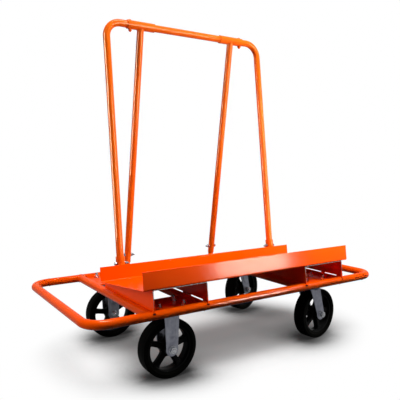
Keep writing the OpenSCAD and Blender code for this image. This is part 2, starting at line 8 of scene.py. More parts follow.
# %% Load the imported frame
import json
import bmesh
import bpy
import numpy as np
from mathutils import Matrix, Vector


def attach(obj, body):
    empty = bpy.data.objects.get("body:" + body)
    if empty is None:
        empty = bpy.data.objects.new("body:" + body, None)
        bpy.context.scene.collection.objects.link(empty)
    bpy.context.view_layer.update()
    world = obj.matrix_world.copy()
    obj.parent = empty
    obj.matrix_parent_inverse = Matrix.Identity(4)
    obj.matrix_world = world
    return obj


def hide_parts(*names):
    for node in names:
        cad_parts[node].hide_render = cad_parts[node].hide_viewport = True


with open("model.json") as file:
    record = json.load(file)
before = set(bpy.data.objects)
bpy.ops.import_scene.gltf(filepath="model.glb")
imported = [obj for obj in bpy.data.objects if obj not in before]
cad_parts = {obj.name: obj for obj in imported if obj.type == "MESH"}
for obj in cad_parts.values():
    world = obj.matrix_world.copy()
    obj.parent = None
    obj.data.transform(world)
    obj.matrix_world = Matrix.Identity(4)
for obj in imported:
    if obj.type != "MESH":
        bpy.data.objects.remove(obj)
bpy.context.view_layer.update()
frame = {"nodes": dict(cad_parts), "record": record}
nodes = frame["nodes"]

# %% [markdown]
# ## Sizes
# The frame is in metres. A maker thinks in millimetres, so each size is written in millimetres and
# scaled once. Only sizes that a new piece needs are repeated here. Angles are turned to radians.

# %% Sizes of the cart
MM = 0.001
tube_r, rest_r, sleeve_r, spigot_r = 15 * MM, 14 * MM, 17 * MM, 11.8 * MM
rail_y, base_z, seam_x = 317 * MM, 243.5 * MM, 565 * MM
bay_x, bay_half, pad_t, pad_depth = 333 * MM, 102 * MM, 5 * MM, 146 * MM
caster_y, caster_z, wheel_r = 242 * MM, 241 * MM, 101.5 * MM
trail, axle_drop, plate_t, race_drop = 38 * MM, 139.5 * MM, 6 * MM, 22.5 * MM
fork_inner, fork_outer, fork_t = 30.5 * MM, 35 * MM, 4.5 * MM
tilt = np.radians(6.4)
deck_y, deck_z, deck_depth, deck_half = -327 * MM, 326.5 * MM, 352 * MM, 462 * MM
lip, flange, sheet, fold_r = 60 * MM, 55 * MM, 2.5 * MM, 6 * MM
channel_middles, channel_half, channel_bend = (-325 * MM, 334 * MM), 103 * MM, 4 * MM
rest_y, rest_rise, rest_half, brace_x = 369.1 * MM, 992 * MM, 372 * MM, 223 * MM
casters = {
    "front_left": dict(x=-bay_x, y=-caster_y, heading=0.0, trail=0.0, turn=50.0),
    "rear_left": dict(x=-bay_x, y=caster_y, heading=0.0, trail=0.0, turn=60.0),
    "front_right": dict(x=bay_x, y=-caster_y, heading=6.0, trail=trail, turn=36.0),
    "rear_right": dict(x=bay_x, y=caster_y, heading=14.5, trail=trail, turn=18.0),
}
print("casters:", ", ".join(casters))

# %% [markdown]
# ## Camera
# The camera stands to the left of the cart, a little above the deck, and looks slightly down. Its place
# and lens were solved from the straight lines of the cart in the photograph, so the render can be laid
# over it. A camera is turned in three steps: tip it up from looking at the floor, swing it round the
# vertical, and roll it a trace.

# %% Camera
photo_px, focal_px, sensor_mm = 400, 495.09, 36.0
camera_at = (-1.13493, -1.67685, 0.71623)
azimuth, pitch, roll = np.radians((33.135, 4.061, -0.230))
camera = bpy.data.objects.new("camera", bpy.data.cameras.new("camera"))
bpy.context.scene.collection.objects.link(camera)
turned = (Matrix.Rotation(-azimuth, 4, "Z") @ Matrix.Rotation(np.pi / 2 - pitch, 4, "X")
          @ Matrix.Rotation(roll, 4, "Z"))
camera.matrix_world = Matrix.Translation(camera_at) @ turned
camera.data.sensor_width = sensor_mm
camera.data.lens = sensor_mm * focal_px / photo_px
bpy.context.scene.camera = camera
print("camera lens", round(camera.data.lens, 2), "mm")

# %% [markdown]
# ## Colours and nodes
# A screen colour is stored with a curve that suits the eye, while a renderer adds light in straight
# numbers. One function does that change. A second one adds a shader node with its settings and links,
# and the ones after it are steps that every finish shares, so that a material reads as a short list.


# %% Colour and node helpers
def linear(code):
    """An sRGB hex colour as linear RGBA: each channel is undone with the two-part sRGB curve."""
    c = np.array([int(code[i:i + 2], 16) for i in (1, 3, 5)]) / 255
    c = np.where(c <= 0.04045, c / 12.92, ((c + 0.055) / 1.055) ** 2.4)
    return (*c.tolist(), 1.0)


def add(tree, kind, links=None, inputs=None, **settings):
    """Adds a node, sets its properties and input values, links its inputs to given output sockets."""
    n = tree.nodes.new(kind)
    for key, value in settings.items():
        setattr(n, key, value)
    for key, value in (inputs or {}).items():
        n.inputs[key].default_value = value
    for key, source in (links or {}).items():
        tree.links.new(source, n.inputs[key])
    return n


def new_material(name):
    """An empty node material, its tree, and the place on the object that its patterns follow."""
    m = bpy.data.materials.new(name)
    m.use_nodes = True
    m.node_tree.nodes.clear()
    return m, m.node_tree, add(m.node_tree, "ShaderNodeTexCoord").outputs["Object"]


def noise(tree, where, size, detail, roughness=0.5):
    """Noise whose features have about the given size in metres."""
    inputs = {"Scale": 1 / size, "Detail": detail, "Roughness": roughness}
    return add(tree, "ShaderNodeTexNoise", {"Vector": where}, inputs).outputs["Fac"]


def ramp(tree, factor, dark, light, start, end):
    """One colour up to the start, another from the end on, and a blend between them."""
    n = add(tree, "ShaderNodeValToRGB", {"Fac": factor})
    for stop, place, code in zip(n.color_ramp.elements, (start, end), (dark, light)):
        stop.position, stop.color = place, linear(code)
    return n.outputs["Color"]


def stretch(tree, factor, low, high):
    """The middle of a noise, 0.3 to 0.7, stretched to a range."""
    inputs = {"From Min": 0.3, "From Max": 0.7, "To Min": low, "To Max": high}
    return add(tree, "ShaderNodeMapRange", {"Value": factor}, inputs).outputs["Result"]


def surface(tree, colour, rough, height, strength, depth, **inputs):
    """The shader of a finish: colour, roughness, a bump with its strength and depth, and constants."""
    bump = add(tree, "ShaderNodeBump", {"Height": height}, {"Strength": strength, "Distance": depth})
    skin = add(tree, "ShaderNodeBsdfPrincipled",
               {"Base Color": colour, "Roughness": rough, "Normal": bump.outputs["Normal"]},
               {key.replace("_", " "): value for key, value in inputs.items()})
    add(tree, "ShaderNodeOutputMaterial", {"Surface": skin.outputs["BSDF"]})


print("the deck's orange in linear light:", np.round(linear("#F24600"), 3).tolist())

# %% [markdown]
# ## Gloss powder coat on steel
# Powder coat is sprayed on dry, then melted in an oven. It flows out to a thick gloss skin with a faint
# dimple like orange peel, a few millimetres across. The dimple is drawn at 6 mm, coarser than life, so
# that it still shows in a small picture. The colour drifts a little where the spray was thicker.
#
# It is one paint, but the backrest's coat is a lighter, yellower copy of it: painted light for the stronger
# light that falls on the backrest. The base tubes' coat is a shade yellower than the sheets' for the same
# painted light, and the tubes shine more sharply than the sheets, so there are four coats. Their index of
# refraction was matched and is well below the 1.5 of real paint: at 1.5 the white ground would wash the
# colour out.

# %% Orange powder coat
drift_size, peel_size, peel_depth = 180 * MM, 6 * MM, 0.2 * MM


def powder_coat(name, thin, thick, peel, ior, sheen, smooth):
    """Gloss orange skin: slow colour drift, orange peel bump, and a roughness that follows the peel."""
    m, t, where = new_material(name)
    colour = ramp(t, noise(t, where, drift_size, detail=2.0), thin, thick, start=0.30, end=0.70)
    dimple = noise(t, where, peel_size, detail=1.0)
    rough = stretch(t, dimple, smooth, 1.5 * smooth)
    surface(t, colour, rough, dimple, strength=peel, depth=peel_depth, IOR=ior,
            Specular_Tint=linear(sheen))
    return m


# Painted light: the base tube coat is a shade yellower than the sheets' orange.
tube_coat = powder_coat("gloss_orange_powder_coat_on_base_tube", "#F24C00", "#F85600",
                        peel=0.05, ior=1.14, sheen="#FFE2C0", smooth=0.06)
# Painted light: the backrest coat is a lighter, yellower copy of the orange, for the stronger light on the
# backrest.
painted_light_rest_coat = powder_coat("gloss_orange_powder_coat_on_backrest", "#E25A0A", "#E86412",
                        peel=0.05, ior=1.18, sheen="#FFE6B4", smooth=0.08)
tray_coat = powder_coat("gloss_orange_powder_coat_on_deck_tray", "#F24600", "#F84E00",
                        peel=0.07, ior=1.22, sheen="#FFEBD2", smooth=0.12)
sheet_coat = powder_coat("gloss_orange_powder_coat_on_channel", "#F24600", "#F84E00",
                         peel=0.07, ior=1.12, sheen="#FFEBD2", smooth=0.12)
print("made", tube_coat.name, painted_light_rest_coat.name, tray_coat.name, "and", sheet_coat.name)

# %% [markdown]
# ## Plated steel and a painted edge highlight
# The forks are pressed steel with a dull zinc plate: a soft grey with cloudy patches about 20 mm across and
# a fine grit. Bolts and nuts are plated brighter and reflect sharply. The front edges of the channels get a
# pale steel finish that is a painted highlight: it stands in for the light that the sheared edges catch, as
# a pale line.

# %% Steel finishes
grit_size, grit_depth = 1.5 * MM, 0.05 * MM


def steel(name, dark, light, smooth, rough, patch):
    """Metal whose colour and roughness vary together with a cloudy noise of the given patch size."""
    m, t, where = new_material(name)
    cloud = noise(t, where, patch, detail=4.0, roughness=0.6)
    colour = ramp(t, cloud, dark, light, start=0.35, end=0.65)
    grit = noise(t, where, grit_size, detail=2.0)
    roughness = stretch(t, cloud, rough, smooth)
    surface(t, colour, roughness, grit, strength=0.15, depth=grit_depth, Metallic=1.0)
    return m


fork_zinc = steel("dull_zinc_plated_steel", "#868894", "#9A9CA6",
                  smooth=0.34, rough=0.48, patch=20 * MM)
bright_zinc = steel("bright_zinc_plated_steel", "#B0B2B6", "#CCCED2",
                    smooth=0.18, rough=0.30, patch=9 * MM)
# Painted highlight: pale steel on the channels' front edges stands in for the light that those edges catch.
edge_highlight_steel = steel("pale_steel_as_painted_edge_highlight", "#C8C4C0", "#E0DCD8",
                   smooth=0.20, rough=0.32, patch=12 * MM)
print("made", fork_zinc.name, bright_zinc.name, "and", edge_highlight_steel.name)

# %% [markdown]
# ## Dark finishes
# The core is cast iron under black paint, so it keeps the sand grain of its mould, about 2 mm. The tyre
# is moulded rubber: nearly black, dull, with a paler bloom in soft patches where the wax has come out.
# The weld tacks where the channels meet the rail are dark brown: painted shade that stands in for the shade
# falling on them. The blacks have a low index for the same reason as the orange.

# %% Black paint, rubber and painted shade on the tacks


def dark_skin(name, dark, light, patch, grain, depth, smooth, rough, ior):
    """Dark dielectric: patchy colour and roughness from one noise, surface grain from a finer one."""
    m, t, where = new_material(name)
    cloud = noise(t, where, patch, detail=3.0)
    colour = ramp(t, cloud, dark, light, start=0.35, end=0.70)
    roughness = stretch(t, cloud, smooth, rough)
    surface(t, colour, roughness, noise(t, where, grain, detail=2.0), strength=0.3, depth=depth, IOR=ior)
    return m


core_black = dark_skin("black_painted_cast_iron", "#0B0B0B", "#121212", patch=40 * MM, grain=2 * MM,
                       depth=0.15 * MM, smooth=0.24, rough=0.36, ior=1.09)
tyre_rubber = dark_skin("moulded_black_rubber", "#060605", "#0A0A09", patch=60 * MM, grain=1.2 * MM,
                        depth=0.08 * MM, smooth=0.30, rough=0.44, ior=1.045)
# Painted shade: the weld tacks are dark brown to stand in for the shade that falls on them.
tack_shade_paint = dark_skin("dark_brown_painted_shade_on_weld_tack", "#2A0C05", "#4A1608", patch=6 * MM, grain=1 * MM,
                  depth=0.1 * MM, smooth=0.40, rough=0.55, ior=1.2)
print("made", core_black.name, tyre_rubber.name, "and", tack_shade_paint.name)

# %% [markdown]
# ## From arrays to a piece
# A new piece is a grid of points worked out as a whole array. Neighbouring points become quads, rows
# can close on themselves, and several grids can share one mesh. Doubled points are merged, which also
# turns collapsed rows into clean poles, and the normals are made to point outwards.


# %% Grid and piece helpers
def grid(points, close_rows=False, close_cols=False):
    """Points and quads of a rows by columns by 3 array; a closed way joins its last line to its first."""
    rows, cols = points.shape[:2]
    i, j = np.meshgrid(np.arange(rows - (not close_rows)), np.arange(cols - (not close_cols)),
                       indexing="ij")
    i2, j2 = (i + 1) % rows, (j + 1) % cols
    quads = np.stack([i * cols + j, i * cols + j2, i2 * cols + j2, i2 * cols + j], -1).reshape(-1, 4)
    return points.reshape(-1, 3), quads


def make_piece(name, grids, material, body, replaces=(), sharp=40.0):
    """Joins grids into one mesh, merges doubles, turns faces out, and shades it smooth up to an angle."""
    starts = np.cumsum([0] + [len(p) for p, _ in grids[:-1]])
    points = np.concatenate([p for p, _ in grids])
    quads = np.concatenate([q + s for (_, q), s in zip(grids, starts)])
    mesh = bpy.data.meshes.new(name)
    mesh.from_pydata(points.tolist(), [], quads.tolist())
    work = bmesh.new()
    work.from_mesh(mesh)
    bmesh.ops.remove_doubles(work, verts=work.verts, dist=1e-6)
    bmesh.ops.recalc_face_normals(work, faces=work.faces)
    work.to_mesh(mesh)
    work.free()
    mesh.shade_smooth()
    mesh.set_sharp_from_angle(angle=np.radians(sharp))
    mesh.materials.append(material)
    made = bpy.data.objects.new(name, mesh)
    bpy.context.scene.collection.objects.link(made)
    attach(made, body)
    if replaces:
        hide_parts(*replaces)
    print(name, "has", len(mesh.polygons), "faces")


def placed(grids, centre, axes):
    """Grids given along three axes, moved to a centre: centre plus the sum of coordinate times axis."""
    return [(np.asarray(centre) + p @ np.asarray(axes), q) for p, q in grids]


def lathe(profile, steps):
    """A profile of (radius, height) turned round the third axis: (r cos a, r sin a, h) on a grid."""
    a = np.linspace(0, 2 * np.pi, steps, endpoint=False)
    r, h = profile[:, :1], profile[:, 1:]
    return np.stack([r * np.cos(a), r * np.sin(a), h + 0 * a], -1)


def rounded(corners, radius, steps):
    """A closed outline whose corners become quadratic curves that start a radius away from them.

    The radius is cut to just under half of the shorter side beside the corner.
    """
    c = np.asarray(corners, float)
    before, after = np.roll(c, 1, 0) - c, np.roll(c, -1, 0) - c
    lb, la = np.linalg.norm(before, axis=1, keepdims=True), np.linalg.norm(after, axis=1, keepdims=True)
    wanted = np.broadcast_to(np.asarray(radius, float).reshape(-1, 1), lb.shape)
    reach = np.minimum(wanted, 0.49 * np.minimum(lb, la))
    start, end = c + before / lb * reach, c + after / la * reach
    s = np.linspace(0, 1, steps)[None, :, None]
    curve = (1 - s) ** 2 * start[:, None] + 2 * s * (1 - s) * c[:, None] + s ** 2 * end[:, None]
    return curve.reshape(-1, 2)


def turned_ring(corners, radius, steps):
    """A closed lathe grid from an outline in millimetres with rounded corners."""
    return grid(lathe(rounded(np.array(corners) * MM, np.asarray(radius) * MM, 6), steps), True, True)


def mirrored(half):
    """An outline of (radius, height) followed by its mirror image below the middle, from its end back."""
    return half + [(r, -h) for r, h in half[::-1]]


def caster_axes(name):
    """Axes of a caster: along its heading, up, and out along the axle to its nut; and its axle's centre."""
    c = casters[name]
    h = np.radians(c["heading"])
    ahead, out = np.array([np.cos(h), np.sin(h), 0]), np.array([np.sin(h), -np.cos(h), 0])
    return np.array([ahead, [0, 0, 1], out]), np.array([c["x"], c["y"], wheel_r]) + c["trail"] * ahead


print("a lathe of 3 points by 4 steps has shape", lathe(np.ones((3, 2)), 4).shape)

# %% [markdown]
# ## Tyres
# A solid rubber tyre has a nearly flat tread with two fine mould lines, round shoulders, and a side wall
# with raised rings. It is a profile turned round the axle, drawn as a closed outline with a radius at
# each corner.

# %% Tyres
tyre_side = [(80.4, 20.8), (82.5, 21.8), (84.5, 24.4), (86.8, 25.2), (87.3, 25.9), (89.5, 25.9),
             (90.0, 25.3), (96.0, 25.5), (100.9, 24.6), (101.2, 14.2), (100.7, 13.6), (100.7, 12.6),
             (101.4, 12.0)]
tyre_radius = [0.4, 0.8, 1.2, 0.5, 0.4, 0.4, 0.5, 2.0, 4.6, 0.4, 0.4, 0.4, 0.4]
tyre_ring = turned_ring(mirrored(tyre_side), tyre_radius + tyre_radius[::-1], steps=144)
for where in casters:
    axes, axle = caster_axes(where)
    make_piece(f"rubber_tyre_{where}", placed([tyre_ring], axle, axes),
               tyre_rubber, f"wheel_{where}", [f"tyre_{where}"])

# %% [markdown]
# ## Spoked cores
# The core is one casting: a rim, a hub and five spokes that swell where they meet them. Rim and hub are
# turned profiles. A spoke is a rounded box section carried along a radius, and its width and thickness
# grow towards both ends, which gives the soft corners of the windows.

# %% Spoked cores
rim_half = [(72.5, 11.5), (74.4, 18.5), (76.5, 20.9), (80.4, 20.9)]
rim_corners = [(r, -h) for r, h in rim_half[::-1]] + rim_half
rim_radius = [1, 1.2, 3, 5]
hub_half = [(10.06, 29.4), (13.5, 29.4), (14.5, 27.4), (18.0, 27.4), (18.6, 29.4), (22.5, 29.4),
            (24.3, 16.0), (27.5, 10.5)]
hub_radius = [0.4, 0.6, 0.8, 0.8, 0.6, 1.5, 6, 4]
spoke_from, spoke_to, spoke_half, spoke_thick = 24, 75.5, 9.4, 11.0
hub_face, rim_face, swell_run = 26, 72.4, 3.6
hub_swell, hub_thicken, rim_swell, rim_thicken = 4.0, 1.0, 7.0, 2.5
squareness = 0.4


def spokes(turn, count=5, rows=36, cols=36):
    """Spokes, in mm: a superellipse section whose half width and half thickness swell at both ends.

    The swell falls off from the hub and from the rim as an exponential of the distance over its run. The
    section's corners come from raising the cosine and the sine of the angle to a power below one.
    """
    r = np.linspace(spoke_from, spoke_to, rows)[:, None]
    inner, outer = np.exp((hub_face - r) / swell_run), np.exp((r - rim_face) / swell_run)
    wide = spoke_half + hub_swell * inner + rim_swell * outer
    thick = spoke_thick + hub_thicken * inner + rim_thicken * outer
    a = np.linspace(0, 2 * np.pi, cols, endpoint=False)[None, :]
    c, s = np.cos(a), np.sin(a)
    across = np.sign(c) * np.abs(c) ** squareness * wide
    along = np.sign(s) * np.abs(s) ** squareness * thick
    out = []
    for k in range(count):
        t = np.radians(turn + (k + 0.5) * 360 / count)
        x, y = r * np.cos(t) - across * np.sin(t), r * np.sin(t) + across * np.cos(t)
        out.append(grid(np.stack([x, y, along], -1) * MM, False, True))
    return out


for where, c in casters.items():
    axes, axle = caster_axes(where)
    parts = [turned_ring(rim_corners, rim_radius + rim_radius[::-1], steps=120),
             turned_ring(mirrored(hub_half), hub_radius + hub_radius[::-1], steps=72),
             *spokes(c["turn"])]
    make_piece(f"spoked_core_{where}", placed(parts, axle, axes),
               core_black, f"wheel_{where}", [f"wheel_core_{where}"])

# %% [markdown]
# ## Pressed forks
# A fork is one strip of sheet bent to a U: a leg down each side of the wheel, joined under the plate. A
# long rib is pressed into each leg to stiffen it, and the foot of the leg is round about the axle. The
# strip is a rounded flat section carried along the U. The section's half width follows the leg's
# outline, and the rib is a smooth step in the distance to its middle line.

# %% Fork strips
eye, half_top, half_foot, fork_bend, fork_edge = 23 * MM, 29 * MM, 22.1 * MM, 9 * MM, 1.3 * MM
rib_start, rib_stop, rib_half, rib_slope, rib_height = 17 * MM, 53 * MM, 13.5 * MM, 4 * MM, 2.5 * MM
plate_half_x, plate_half_y, plate_corner, plate_edge = 57.5 * MM, 51 * MM, 13 * MM, 1 * MM
plate_gap = 0.05 * MM
foot_points, leg_points, bend_points, face_points = 14, 40, 8, 27


def fork_strip(top, lean):
    """A U strip in (ahead, up, out) with zero on the plate's face.

    The path runs up one leg, round a bend, across and down the other leg. At each path point the section
    is a flat oval loop: a share of the half width along the leg's width, and a height along the path's
    normal. The half width is the larger of a straight taper and the round foot; both shrink by the inset
    of the loop point.
    """
    middle = (fork_inner + fork_outer) / 2
    foot = eye * np.sin(np.linspace(-np.pi / 2, 0, foot_points))[:-1] - axle_drop
    leg = np.linspace(-axle_drop, -top - fork_t / 2 - fork_bend, leg_points)
    turn = np.linspace(0, np.pi / 2, bend_points)[1:]
    out = np.r_[np.full(len(foot) + len(leg), middle), middle - fork_bend + fork_bend * np.cos(turn)]
    up = np.r_[foot, leg, leg[-1] + fork_bend * np.sin(turn)]
    face = np.r_[np.zeros(len(foot) + len(leg)), turn]
    out, up, face = np.r_[out, -out[::-1]], np.r_[up, up[::-1]], np.r_[face, np.pi - face[::-1]]
    across = np.linspace(-1, 1, face_points)
    arc = np.radians([65, 40, 15, 0])
    lift, pull = fork_t / 2 - fork_edge + fork_edge * np.sin(arc), fork_edge * (1 - np.cos(arc))
    rim_height, rim_inset = np.r_[lift, -lift[::-1]], np.r_[pull, pull[::-1]]
    flat_face, rim = np.ones(len(across)), np.ones(len(rim_height))
    share = np.r_[across, rim, across[::-1], -rim][None, :]
    height = np.r_[flat_face * fork_t / 2, rim_height, -flat_face * fork_t / 2, rim_height[::-1]][None, :]
    inset = np.r_[flat_face * fork_edge, rim_inset, flat_face * fork_edge, rim_inset[::-1]][None, :]
    out, up, face = out[:, None], up[:, None], face[:, None]
    below = up + axle_drop
    level = np.where(below < 0, below * (1 - inset / eye), below + 0 * inset)
    down = np.clip((-top - up) / (axle_drop - top), 0, 1)
    taper = np.where(below >= 0, half_top + (half_foot - half_top) * down - inset, 0)
    half = np.maximum(taper, np.sqrt(np.clip((eye - inset) ** 2 - level ** 2, 0, None)))
    ahead = lean * down + share * half
    run = np.hypot(lean, axle_drop - top)
    way = np.array([lean, -(axle_drop - top)]) / run
    along = np.clip(ahead * way[0] + (up + top) * way[1], rib_start, run - rib_stop)
    gap = np.hypot(ahead - along * way[0], up + top - along * way[1])
    step = np.clip((rib_half - gap) / rib_slope, 0, 1)
    on_leg = np.abs(np.sin(face)) < 1e-6
    push = height + rib_height * step * step * (3 - 2 * step) * on_leg
    points = [ahead, level - axle_drop + push * np.sin(face), out + push * np.cos(face)]
    return grid(np.stack(points, -1), False, True)


def slab(outline, low, high, edge):
    """A plate from a star-shaped outline: rows go from one face's middle over its edge to the other's."""
    arc = np.radians([90, 60, 30, 0])
    pull, sink = edge * (1 - np.cos(arc)), edge - edge * np.sin(arc)
    level = np.r_[low, low + sink, high - sink[::-1], high]
    size = np.abs(outline).max()
    keep = np.r_[0, 1 - np.r_[pull, pull[::-1]] / size, 0]
    rows = [np.c_[outline * k, np.full(len(outline), z)] for k, z in zip(keep, level)]
    return grid(np.stack(rows), False, True)


def caster_seat(name):
    """The middle of a caster's plate, on the face under its pad."""
    return np.array([casters[name]["x"], casters[name]["y"], caster_z])


plate_corners = [(sx * plate_half_x, sy * plate_half_y) for sx, sy in ((-1, -1), (1, -1), (1, 1), (-1, 1))]
plate = slab(rounded(plate_corners, plate_corner, 8), -plate_t, -plate_gap, plate_edge)
flat = np.eye(3)
for where in ("front_left", "rear_left"):
    axes, _ = caster_axes(where)
    parts = (placed([fork_strip(plate_t, 0.0)], caster_seat(where), axes)
             + placed([plate], caster_seat(where), flat))
    make_piece(f"pressed_fork_{where}", parts, fork_zinc, "cart_frame",
               [f"rigid_fork_{where}"])

# %% [markdown]
# A swivel fork hangs from a ring of balls. Its strip starts lower, leans back by the trail, and carries
# the lower race, a turned disc with a groove for the balls and a skirt that keeps dirt out.

# %% Swivel forks
race_corners = [(7.1, -22.5), (42, -22.5), (42, -16.6), (34.5, -16.6), (32.5, -18.4), (29, -18.9),
                (25.5, -18.4), (23.5, -16.6), (7.1, -16.6)]
race_radius = [0.5, 2, 1.5, 0.8, 1, 1, 1, 0.8, 0.5]
washer_corners = [(7.1, -28.4), (15, -28.4), (15, -26.9), (7.1, -26.9)]
rings = [turned_ring(race_corners, race_radius, steps=72),
         turned_ring(washer_corners, radius=0.4, steps=48)]
for where in ("front_right", "rear_right"):
    axes, _ = caster_axes(where)
    parts = (placed([fork_strip(race_drop, trail)], caster_seat(where), axes)
             + placed(rings, caster_seat(where), flat))
    make_piece(f"pressed_fork_{where}", parts, fork_zinc, f"swivel_{where}",
               [f"swivel_fork_{where}"])

# %% [markdown]
# ## Folded deck
# The deck is one sheet folded to a tray. Its section is two lines a sheet apart that share a round nose
# at the top of the lip and of the flange, carried along the cart. The last millimetre at each end is drawn
# in, so that the cut edge catches light as a real sheared edge does.

# %% Deck tray


def on_deck(p):
    """Points of the deck's own frame in the cart's frame: turned down to the back by the tilt and moved."""
    x, y, z = np.moveaxis(np.asarray(p, float), -1, 0)
    back = deck_y + y * np.cos(tilt) + z * np.sin(tilt)
    return np.stack([x, back, deck_z - y * np.sin(tilt) + z * np.cos(tilt)], -1)


def open_rounded(corners, radius, steps=7):
    """An open line with its inner corners rounded; its ends stay."""
    corners = np.asarray(corners, float)
    r = rounded(corners, radius, steps).reshape(len(corners), steps, 2)
    return np.concatenate([corners[:1], r[1:-1].reshape(-1, 2), corners[-1:]])


def tray_line(inset):
    """One face of the folded sheet in (back, up): the outer one for no inset, the inner for a sheet's."""
    nose, back = 1 * MM, deck_depth - inset
    corners = [(sheet / 2, lip), (inset, lip), (inset, inset), (back, inset), (back, flange),
               (deck_depth - sheet / 2, flange)]
    return open_rounded(corners, [0, nose, fold_r - inset, fold_r - inset, nose, 0])


outer_line, inner_line = tray_line(0.0), tray_line(sheet)
middle_line = (outer_line + inner_line) / 2
half_way = 230 * MM
# A row is its distance from the middle and the share of the sheet's thickness that it keeps.
end_rows = [(deck_half, 0.0), (deck_half, 0.6), (deck_half - 0.4 * MM, 0.9), (deck_half - 1 * MM, 1.0),
            (half_way, 1.0)]
tray_rows = []
for x, keep in [(-x, keep) for x, keep in end_rows] + [(0.0, 1.0)] + end_rows[::-1]:
    outside = middle_line + (outer_line - middle_line) * keep
    inside = middle_line + (inner_line - middle_line) * keep
    loop = np.r_[outside, inside[::-1]]
    tray_rows.append(np.c_[np.full(len(loop), x), loop])
make_piece("folded_deck_tray", [grid(on_deck(np.stack(tray_rows)), False, True)],
           tray_coat, "cart_frame", ["deck_tray"])

# %% [markdown]
# ## Fasteners
# A bolt head or nut is a hexagon whose corners are turned off to a cone at its ends. Its radius in each
# direction is the smaller of the hexagon's and the cone's. The thread is a rod whose radius rises and
# falls with the distance along it, shifted by one pitch for each turn. Washers are small turned rings.

# %% Fastener shapes
washer_t, washer_edge = 1.6 * MM, 0.4 * MM
head_share, nut_share, plain_share, sunk_share = 0.66, 0.8, 0.4, 0.1  # of the diameter
cone_share, chamfer_shares = 0.485, np.array([0, 0.012, 0.03, 0.055])  # of the width across the flats
ridge_share, tip_share = 0.3, 0.8  # of the pitch
nut_turn = 0.4


def hexagon(af, low, high, spin):
    """A hexagon prism with ends chamfered at 30 degrees: smaller of the hexagon's and the cone's radius."""
    a = np.linspace(0, 2 * np.pi, 60, endpoint=False)[None, :]
    flat_r = af / 2 / np.cos((a + np.pi / 6) % (np.pi / 3) - np.pi / 6)
    depth = chamfer_shares[:, None] * af
    ends = np.minimum(flat_r, af * cone_share + depth * np.sqrt(3))
    r = np.concatenate([0 * flat_r, ends, ends[::-1], 0 * flat_r])
    z = np.concatenate([[[low]], low + depth, high - depth[::-1], [[high]]])
    return grid(np.stack([r * np.cos(a + spin), r * np.sin(a + spin), z + 0 * a], -1), False, True)


def thread(d, pitch, low, high):
    """A threaded rod end: radius d/2 minus a cosine of height over pitch minus turn, with a cone tip."""
    a = np.linspace(0, 2 * np.pi, 20, endpoint=False)[None, :]
    z = np.linspace(low, high, max(int((high - low) / pitch * 6), 8))[:, None]
    r = d / 2 - ridge_share * pitch * (1 - np.cos(2 * np.pi * z / pitch - a))
    r = np.minimum(r, d / 2 - tip_share * pitch + (high - z))
    body = np.stack([r * np.cos(a), r * np.sin(a), z + 0 * a], -1)
    on_axis = [0, 0, 1]
    return grid(np.concatenate([body[:1] * on_axis, body, body[-1:] * on_axis]), False, True)


def bolt(d, af, pitch, washer, length, grip, spin):
    """A bolt along the third axis: head below zero, two washers, shank, nut past the grip, and thread."""
    ring = rounded([(d / 2, 0), (washer, 0), (washer, washer_t), (d / 2, washer_t)], washer_edge, 4)
    start, end, nut = -sunk_share * d, grip + plain_share * d, grip + washer_t
    shank = np.array([(0, start), (d / 2, start), (d / 2, end), (0, end)])
    return {"head": hexagon(af, -head_share * d - washer_t, -washer_t, spin),
            "nut": hexagon(af, nut, nut + nut_share * d, spin + nut_turn),
            "head_washer": grid(lathe(ring - [0, washer_t], 36), True, True),
            "nut_washer": grid(lathe(ring + [0, grip], 36), True, True),
            "shank": grid(lathe(shank, 20), False, True),
            "thread": thread(d, pitch, end, length)}


def square_axes(way):
    """Three axes at right angles, the third along the given way."""
    way = np.asarray(way, float) / np.linalg.norm(way)
    side = np.cross([0.0, 0.0, 1.0] if abs(way[2]) < 0.9 else [0.0, 1.0, 0.0], way)
    side = side / np.linalg.norm(side)
    return np.array([side, np.cross(way, side), way])


m8 = dict(d=8 * MM, af=13 * MM, pitch=1.25 * MM, washer=8 * MM)
m10 = dict(d=10 * MM, af=17 * MM, pitch=1.5 * MM, washer=10.5 * MM)
m14 = dict(d=14 * MM, af=22 * MM, pitch=2 * MM, washer=14 * MM)
sample = bolt(**m10, length=31 * MM, grip=plate_t + pad_t, spin=0)
print("one caster bolt has", sum(len(q) for _, q in sample.values()), "faces")

# %% [markdown]
# The backrest comes apart for transport, so its feet, braces and sleeves are bolted: bolts at the feet and
# braces point inboard, those at the sleeves point down from low heads and are painted over. Four bolts hold
# each caster under its pad, and one bolt is each wheel's axle.

